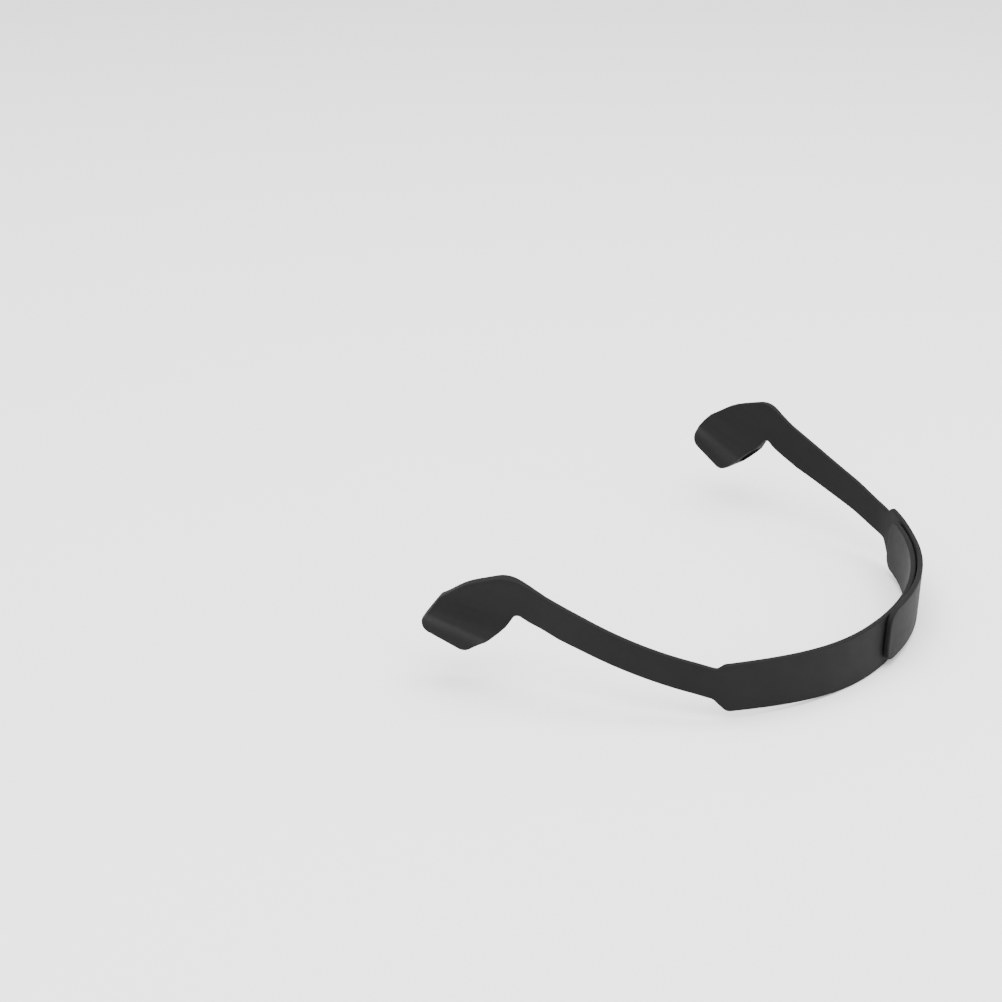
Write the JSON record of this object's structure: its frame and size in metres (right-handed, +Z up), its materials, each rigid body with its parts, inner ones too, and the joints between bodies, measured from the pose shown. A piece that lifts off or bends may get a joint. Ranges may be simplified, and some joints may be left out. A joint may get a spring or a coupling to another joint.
{
  "type": "eyeglasses strap",
  "caption": "Adjustable silicone eyeglasses strap: two moulded halves with ear hooks for the temple tips, lapped and fastened at the back of the head.",
  "frame": {"origin": "on the middle plane of the back band, midway between the middles of the two temple tunnels in height and from front to back", "axes": "+X to the wearer's left, +Y backwards towards the back of the head, +Z up"},
  "size_m": [0.1222, 0.0844, 0.0292],
  "materials": {
    "silicone": "matte moulded silicone",
    "loop_tape": "soft pile of loops",
    "hook_tape": "rows of small moulded hooks"
  },
  "bodies": {
    "back_band": {"left_tab": "silicone", "fastener_loop_patch": "loop_tape"},
    "right_lap": {"right_tab": "silicone", "fastener_hook_patch": "hook_tape"},
    "left_strip": {"left_strip": "silicone"},
    "left_hook": {"left_ear_hook": "silicone"},
    "right_strip": {"right_strip": "silicone"},
    "right_hook": {"right_ear_hook": "silicone"}
  },
  "joints": [
    {"name": "closure_adjust", "type": "hinge", "parent": "back_band", "child": "right_lap", "pos_m": [0, 0.01255, -0.01], "axis": [0, 0, 1], "range_deg": [-5, 20]},
    {"name": "left_strip_flex", "type": "hinge", "parent": "back_band", "child": "left_strip", "pos_m": [0.04518, 0.04547, -0.00675], "axis": [0.0473, -0.2051, -0.9776], "range_deg": [-45, 45], "stiffness_Nm_per_rad": 0.0015},
    {"name": "left_hook_flex", "type": "hinge", "parent": "left_strip", "child": "left_hook", "pos_m": [0.05333, 0.01465, 0.00328], "axis": [-0.1348, -0.3682, -0.9199], "range_deg": [-45, 45], "stiffness_Nm_per_rad": 0.0015},
    {"name": "right_strip_flex", "type": "hinge", "parent": "right_lap", "child": "right_strip", "pos_m": [-0.04715, 0.04692, -0.00523], "axis": [0.077, 0.3008, 0.9506], "range_deg": [-45, 45], "stiffness_Nm_per_rad": 0.0015},
    {"name": "right_hook_flex", "type": "hinge", "parent": "right_strip", "child": "right_hook", "pos_m": [-0.05509, 0.01858, 0.00541], "axis": [-0.112, 0.4062, 0.9069], "range_deg": [-45, 45], "stiffness_Nm_per_rad": 0.0015}
  ]
}
